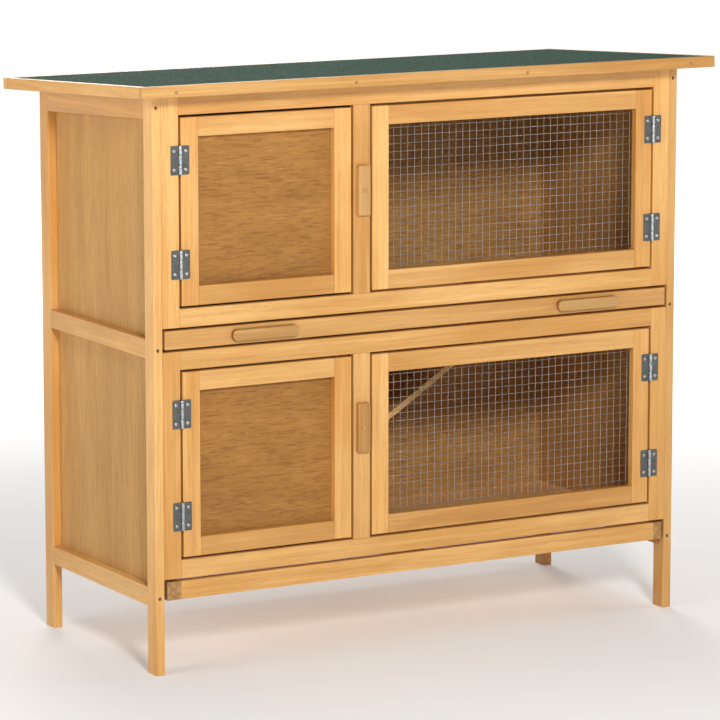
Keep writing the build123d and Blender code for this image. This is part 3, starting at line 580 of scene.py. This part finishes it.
def drawn_wire(bm, start, end, wander, dice):
    """One round wire from start to end that wanders a little sideways, as fixed mesh does."""
    run = end - start
    spin = run.to_track_quat("Z", "Y").to_matrix().to_4x4()
    made = bmesh.ops.create_circle(
        bm, cap_ends=True, segments=WIRE_SIDES, radius=WIRE_RADIUS,
        matrix=Matrix.Translation(start) @ spin,
    )
    faces = list(dict.fromkeys(f for v in made["verts"] for f in v.link_faces))
    bmesh.ops.reverse_faces(bm, faces=faces)
    phase, waves = dice.uniform(0, math.tau), dice.uniform(*WIRE_WAVES)
    before = Vector((0, 0, 0))
    ring = faces
    for step in range(1, WIRE_STEPS + 1):
        along = step / WIRE_STEPS
        drift = wander * math.sin(phase + waves * math.tau * along)
        drift = drift * WIRE_WANDER * math.sin(math.pi * along)
        grown = bmesh.ops.extrude_face_region(bm, geom=ring, use_keep_orig=(step == 1))
        ring = [g for g in grown["geom"] if isinstance(g, bmesh.types.BMFace)]
        moved = [g for g in grown["geom"] if isinstance(g, bmesh.types.BMVert)]
        here = run * along + drift
        bmesh.ops.translate(bm, verts=moved, vec=here - before)
        before = here


def grille(door, draw):
    node = door + "_door_mesh"
    lo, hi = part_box(node)
    across = round((hi.x - lo.x - WIRE_LAYER) / WIRE_PITCH)
    up = round((hi.z - lo.z - WIRE_LAYER) / WIRE_PITCH)
    dice = random.Random(draw)
    bm = bmesh.new()
    for k in range(across + 1):
        x = lo.x + WIRE_LAYER / 2 + k * WIRE_PITCH
        y = lo.y + WIRE_LAYER / 2
        drawn_wire(bm, Vector((x, y, lo.z)), Vector((x, y, hi.z)), Vector((1, 0, 0)), dice)
    for k in range(up + 1):
        z = lo.z + WIRE_LAYER / 2 + k * WIRE_PITCH
        y = lo.y + WIRE_LAYER * 1.5 - WIRE_WELD
        drawn_wire(bm, Vector((lo.x, y, z)), Vector((hi.x, y, z)), Vector((0, 0, 1)), dice)
    bmesh.ops.recalc_face_normals(bm, faces=bm.faces)
    for face in bm.faces:
        face.smooth = len(face.verts) == 4
    piece = shown(door + "_wire_grille", bm, wire_zinc, door + "_door")
    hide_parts(node)

    bm = bmesh.new()
    y = lo.y + WIRE_LAYER * 2 + STAPLE_THICK / 2
    spots = []
    rows = int((hi.x - lo.x) / STAPLE_STEP)
    for k in range(rows + 1):
        x = lo.x + STAPLE_INSET + k * (hi.x - lo.x - 2 * STAPLE_INSET) / rows
        spots += [(x, lo.z + STAPLE_INSET, True), (x, hi.z - STAPLE_INSET, True)]
    cols = int((hi.z - lo.z) / STAPLE_STEP)
    for k in range(1, cols):
        z = lo.z + k * (hi.z - lo.z) / cols
        spots += [(lo.x + STAPLE_INSET, z, False), (hi.x - STAPLE_INSET, z, False)]
    leg = (STAPLE_THICK, STAPLE_LEG, STAPLE_WIDE)
    back = (STAPLE_THICK - STAPLE_LEG) / 2
    for x, z, level in spots:
        tilt = dice.uniform(-STAPLE_TILT, STAPLE_TILT) + (0 if level else math.pi / 2)
        turn = Matrix.Translation((x, y, z)) @ Matrix.Rotation(tilt, 4, "Y")
        for size, place in (
            ((STAPLE_CROWN, STAPLE_THICK, STAPLE_WIDE), (0, 0, 0)),
            (leg, (-STAPLE_CROWN / 2, back, 0)),
            (leg, (STAPLE_CROWN / 2, back, 0)),
        ):
            bar = bmesh.ops.create_cube(
                bm, size=1, matrix=turn @ Matrix.Translation(place) @ Matrix.Diagonal((*size, 1))
            )
            bmesh.ops.bevel(bm, geom=edges_of(bar["verts"]), offset=STAPLE_EASE, affect="EDGES",
                            segments=1, profile=0.5, material=-1)
    shown(door + "_staples", bm, wire_zinc, door + "_door")


grille("upper_right", 61)
grille("lower_right", 62)

# ---------------------------------------------------------------- hinges
# Pressed zinc-plated butt hinges: a leaf with rounded corners rolled round the pin, and
# two cross-head screws in each leaf. The barrels are painted brighter than the leaves, a painted
# highlight.
LEAF_GREY = (0.145, 0.152, 0.152, 1)
BARREL_HIGHLIGHT_GREY = (0.50, 0.53, 0.54, 1)
SCREW_BRIGHT = (0.52, 0.51, 0.48, 1)
LEAF_THICK = 0.0012
LEAF_WIDE = 0.016
HINGE_TALL = 0.045
BARREL_R = 0.0025
SCREW_HEAD_R = 0.0028
SCREW_FROM_AXIS = 0.010
SCREW_FROM_END = 0.008
SCREW_HEAD_FLAT = 0.38
CROSS_SLOT = (0.0030, 0.0006, 0.0011)
LEAF_CORNER = 0.0018
LEAF_EDGE = 0.0002
LEAF_SLACK = 0.0004
KNUCKLE_SLACK = 0.0005
KNUCKLE_EASE = 0.0004
PIN_R = 0.0011
PIN_GAP = 0.0002
TONGUE_AT = 0.45
TONGUE_LONG = 1.1
TONGUE_THICK = 0.96
HINGES_APART = 0.05
SCREW_TURN = 1.5

leaf_zinc = steel("leaf_zinc", LEAF_GREY, 0.46, 0.22, 0.20, 0.6)
# The barrels' brighter colour is a painted highlight.
barrel_highlight_zinc = steel("barrel_highlight_zinc", BARREL_HIGHLIGHT_GREY, 0.30, 0.10, 0.15)
screw_zinc = steel("hinge_screw_zinc", SCREW_BRIGHT, 0.34, 0.10, 0.20)

# A low domed screw head with a cross recess, made once and used in every leaf.
bm = bmesh.new()
bmesh.ops.create_uvsphere(bm, u_segments=20, v_segments=12, radius=SCREW_HEAD_R)
bmesh.ops.bisect_plane(bm, geom=bm.verts[:] + bm.edges[:] + bm.faces[:], plane_co=(0, 0, 0),
                       plane_no=(0, 0, -1), clear_outer=True)
bmesh.ops.holes_fill(bm, edges=[e for e in bm.edges if e.is_boundary], sides=0)
bmesh.ops.scale(bm, vec=(1, 1, SCREW_HEAD_FLAT), verts=bm.verts)
head_mesh = bpy.data.meshes.new("screw_head_blank")
bm.to_mesh(head_mesh)
bm.free()
head_blank = bpy.data.objects.new("screw_head_blank", head_mesh)
bpy.context.scene.collection.objects.link(head_blank)
bm = bmesh.new()
for turn in (0, math.pi / 2):
    bmesh.ops.create_cube(
        bm, size=1,
        matrix=Matrix.Translation((0, 0, CROSS_SLOT[2])) @ Matrix.Rotation(turn, 4, "Z")
        @ Matrix.Diagonal((*CROSS_SLOT, 1)),
    )
cross_mesh = bpy.data.meshes.new("cross_bit")
bm.to_mesh(cross_mesh)
bm.free()
cross_bit = bpy.data.objects.new("cross_bit", cross_mesh)
bpy.context.scene.collection.objects.link(cross_bit)
recess = head_blank.modifiers.new("recess", "BOOLEAN")
recess.operation = "DIFFERENCE"
recess.solver = "EXACT"
recess.use_self = True
recess.object = cross_bit
bpy.context.view_layer.update()
screw_head = bpy.data.meshes.new_from_object(
    head_blank.evaluated_get(bpy.context.evaluated_depsgraph_get())
)
bpy.data.objects.remove(head_blank)
bpy.data.objects.remove(cross_bit)


def butt_leaves(node, fixed, out):
    """All leaves of one CAD node: plates, rolled knuckles and screws, as three pieces."""
    old = frame["nodes"][node]
    lo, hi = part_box(node)
    body = old["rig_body"]
    axis_x = (lo.x + BARREL_R) if out > 0 else (hi.x - BARREL_R)
    face_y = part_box("upper_frame_rails")[0].y
    axis_y = face_y - BARREL_R - PIN_GAP
    pairs = []
    spans = sorted({round(v.co.z, 4) for v in old.data.vertices})
    low = spans[0]
    for before, z in zip(spans, spans[1:]):
        if z - before > HINGES_APART:
            pairs.append((low + before) / 2)
            low = z
    pairs.append((low + spans[-1]) / 2)
    third = HINGE_TALL / 3
    plates, knuckles, screws = bmesh.new(), bmesh.new(), bmesh.new()
    for z in pairs:
        middle = axis_x + out * (LEAF_WIDE + LEAF_SLACK) / 2
        plate = bmesh.ops.create_cube(
            plates, size=1,
            matrix=Matrix.Translation((middle, face_y - LEAF_THICK / 2, z))
            @ Matrix.Diagonal((LEAF_WIDE - LEAF_SLACK, LEAF_THICK, HINGE_TALL, 1)),
        )
        corner = [
            e for e in edges_of(plate["verts"])
            if abs(e.verts[0].co.y - e.verts[1].co.y) > LEAF_THICK / 2
            and (e.verts[0].co.x - axis_x) * out > LEAF_WIDE / 2
        ]
        bmesh.ops.bevel(plates, geom=corner, offset=LEAF_CORNER, affect="EDGES", segments=4,
                        profile=0.5, material=-1)
        held = (-third, third) if fixed else (0,)
        for k in held:
            tube = bmesh.ops.create_cone(
                knuckles, cap_ends=True, segments=20, radius1=BARREL_R, radius2=BARREL_R,
                depth=third - KNUCKLE_SLACK, matrix=Matrix.Translation((axis_x, axis_y, z + k)),
            )
            ends = [
                e for e in edges_of(tube["verts"])
                if any(len(f.verts) > 4 for f in e.link_faces)
            ]
            bmesh.ops.bevel(knuckles, geom=ends, offset=KNUCKLE_EASE, affect="EDGES", segments=2,
                            profile=0.5, material=-1)
            bmesh.ops.create_cube(
                knuckles, size=1,
                matrix=Matrix.Translation(
                    (axis_x + out * BARREL_R * TONGUE_AT, face_y - LEAF_THICK / 2, z + k)
                )
                @ Matrix.Diagonal((BARREL_R * TONGUE_LONG, LEAF_THICK * TONGUE_THICK,
                                   third - KNUCKLE_SLACK, 1)),
            )
        if fixed:
            bmesh.ops.create_cone(
                knuckles, cap_ends=True, segments=14, radius1=PIN_R, radius2=PIN_R,
                depth=HINGE_TALL, matrix=Matrix.Translation((axis_x, axis_y, z)),
            )
        for s in (-1, 1):
            dice = random.Random(round(z * 1000) + s)
            place = Matrix.Translation((
                axis_x + out * SCREW_FROM_AXIS, face_y - LEAF_THICK,
                z + s * (HINGE_TALL / 2 - SCREW_FROM_END),
            ))
            stand = place @ Matrix.Rotation(math.pi / 2, 4, "X") @ Matrix.Rotation(
                dice.uniform(0, SCREW_TURN), 4, "Z"
            )
            had = len(screws.verts)
            screws.from_mesh(screw_head)
            screws.verts.ensure_lookup_table()
            bmesh.ops.transform(screws, matrix=stand, verts=screws.verts[had:])
    for face in knuckles.faces:
        face.smooth = len(face.verts) == 4
    plate_piece = shown(node + "_plates", plates, leaf_zinc, body)
    soft = plate_piece.modifiers.new("pressed_edge", "BEVEL")
    soft.width = LEAF_EDGE
    soft.segments = 2
    soft.limit_method = "ANGLE"
    shown(node + "_barrels", knuckles, barrel_highlight_zinc, body)
    shown(node + "_screws", screws, screw_zinc, body)
    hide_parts(node)


butt_leaves("hinge_leaves_left", True, -1)
butt_leaves("hinge_leaves_right", True, 1)
for storey in ("upper", "lower"):
    butt_leaves(storey + "_left_door_hinges", False, 1)
    butt_leaves(storey + "_right_door_hinges", False, -1)

# ---------------------------------------------------------------- turn buttons
# A short fir bar on one screw, a tone browner than the rest. The
# screw head was stained over with the wood.
BUTTON_TONE = 0.70
BUTTON_SCREW_TONE = 0.64

for draw, storey in enumerate(("upper", "lower")):
    finish(storey + "_turn_button", fir("fir_%s_button" % storey, "z", 70 + draw, BUTTON_TONE))
finish("button_screws", fir("stained_screw", "z", 73, BUTTON_SCREW_TONE))

# ---------------------------------------------------------------- tray supports
# Runners along the walls and two bearers between them, in plain fir. The tray slides on
# them, and the right-hand bearer also carries the ramp.
SUPPORT_TONE = 0.90

planed("tray_runners", fir("fir_runners", "y", 80, SUPPORT_TONE))
planed("tray_bearers", fir("fir_bearers", "y", 81, SUPPORT_TONE))

# ---------------------------------------------------------------- nest divider
# Ply wall behind the upper upright that parts the nest from the open room, with an
# arched doorway sawn in it. Its grain runs from front to back.
DIVIDER_SHORT_EDGE = 0.03

sheet = plywood("ply_divider", "y", 84, INNER_LIGHT, INNER_DEEP)
planed("nest_divider", sheet, PLY_EASE, DIVIDER_SHORT_EDGE)

# ---------------------------------------------------------------- tray
# Fir front board, ply base and low fir lip, with two pull bars whose corners are
# rounded over and whose fir is given a darker tone.
TRAY_FLECK = 0.6
HANDLE_LONG = 0.115
HANDLE_CORNER = 0.0072
HANDLE_ROUND = 0.0020
HANDLE_TONE = 0.64

planed("tray_front", fir("fir_tray_front", "x", 86, 0.86))
sheet = plywood("ply_tray", "x", 87, WALL_LIGHT, WALL_DEEP, TRAY_FLECK)
planed("tray_base", sheet, PLY_EASE)
planed("tray_lip", fir("fir_tray_lip", "x", 88, 0.95))

lo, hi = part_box("tray_handles")
bars = bmesh.new()
for x in (lo.x + HANDLE_LONG / 2, hi.x - HANDLE_LONG / 2):
    bar = bmesh.ops.create_cube(
        bars, size=1,
        matrix=Matrix.Translation((x, (lo.y + hi.y) / 2, (lo.z + hi.z) / 2))
        @ Matrix.Diagonal((HANDLE_LONG, hi.y - lo.y, hi.z - lo.z, 1)),
    )
    half = (hi.y - lo.y) / 2
    corner = [
        e for e in edges_of(bar["verts"]) if abs(e.verts[0].co.y - e.verts[1].co.y) > half
    ]
    bmesh.ops.bevel(bars, geom=corner, offset=HANDLE_CORNER, affect="EDGES", segments=5,
                    profile=0.5, material=-1)
face_rim = [
    e for e in bars.edges
    if all(abs(v.co.y - lo.y) < SAME_POINT for v in e.verts)
]
bmesh.ops.bevel(bars, geom=face_rim, offset=HANDLE_ROUND, affect="EDGES", segments=4,
                profile=0.5, material=-1)
for face in bars.faces:
    face.smooth = True
handle_fir = fir("fir_handles", "x", 89, HANDLE_TONE)
handle_bars = shown("tray_handle_bars", bars, handle_fir, "tray")
handle_bars.modifiers.new("even_normals", "WEIGHTED_NORMAL").weight = FACE_WEIGHT
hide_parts("tray_handles")

# ---------------------------------------------------------------- ramp
# Fir board with planed cross cleats, its head batten turning on a steel rod held by two
# brackets on the right bearer.
CLEAT_SHORT_EDGE = 0.006

planed("ramp_board", fir("fir_ramp_board", "x", 90, 0.97))
planed("ramp_cleats", fir("fir_ramp_cleats", "y", 91, 0.93), shortest=CLEAT_SHORT_EDGE)
planed("ramp_head", fir("fir_ramp_head", "y", 92, 0.93))
# The rod takes the hinge barrels' grey, which is painted brighter as a highlight.
finish("ramp_rod", steel("rod_steel", BARREL_HIGHLIGHT_GREY, 0.36, 0.15, 0.25))

# ---------------------------------------------------------------- roof
# Board nailed down on the frame and edged with fir trim, under mineral felt: bitumen
# sheet pressed full of fine green slate chips.
NAIL_BROWN = (0.44, 0.26, 0.11, 1)
FELT_GREEN = (0.022, 0.080, 0.050, 1)
FELT_DARK = (0.008, 0.030, 0.019, 1)
FELT_CHIP = (0.100, 0.210, 0.140, 1)
FELT_WORN = (0.72, 0.78, 0.76, 1)
FELT_ROUGH = 0.92
FELT_GLOSS = 0.15
CHIP_SCALE = 480
CLUMP_SCALE = 170
WEAR_SCALE = 9
GRIT_RELIEF = 0.7
GRIT_RISE = 0.0008

sheet = plywood("ply_roof", "x", 95, WALL_LIGHT, WALL_DEEP)
planed("roof_board", sheet, PLY_EASE)
planed("roof_trim_front", fir("fir_trim_front", "x", 96, 0.84))
planed("roof_trim_back", fir("fir_trim_back", "x", 97, 0.95))
planed("roof_trim_sides", fir("fir_trim_sides", "y", 98, 0.96))
finish("roof_nails", steel("nail_steel", NAIL_BROWN, 0.55, 0.25, 0.4, 0.2))

slate_felt = bpy.data.materials.new("slate_felt")
slate_felt.use_nodes = True
tree = slate_felt.node_tree
skin = tree.nodes["Principled BSDF"]
even = placed(tree, "x", 1.0, 0, (0, 0, 0))
chips = tree.nodes.new("ShaderNodeTexVoronoi")
chips.inputs["Scale"].default_value = CHIP_SCALE
link(tree, even, "Vector", chips, "Vector")
clumps = grain_noise(tree, even, CLUMP_SCALE, 4, 0.75)
wear = grain_noise(tree, even, WEAR_SCALE, 4, 0.6)
ground = mixed(tree, "MIX", eased_range(tree, clumps, 0.35, 0.65), FELT_DARK, FELT_GREEN)
chipped = mixed(tree, "MIX", eased_range(tree, (chips, "Color"), 0.62, 0.80, 0.0, 0.75),
                ground, FELT_CHIP)
weathered = mixed(tree, "MULTIPLY", eased_range(tree, wear, 0.40, 0.70, 0.0, 0.35), chipped,
                  FELT_WORN)
tree.links.new(weathered[0].outputs[weathered[1]], skin.inputs["Base Color"])
skin.inputs["Roughness"].default_value = FELT_ROUGH
skin.inputs["Specular IOR Level"].default_value = FELT_GLOSS
grit = tree.nodes.new("ShaderNodeBump")
grit.inputs["Strength"].default_value = GRIT_RELIEF
grit.inputs["Distance"].default_value = GRIT_RISE
link(tree, chips, "Distance", grit, "Height")
link(tree, grit, "Normal", skin, "Normal")
finish("roof_felt", slate_felt)

lo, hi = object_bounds()
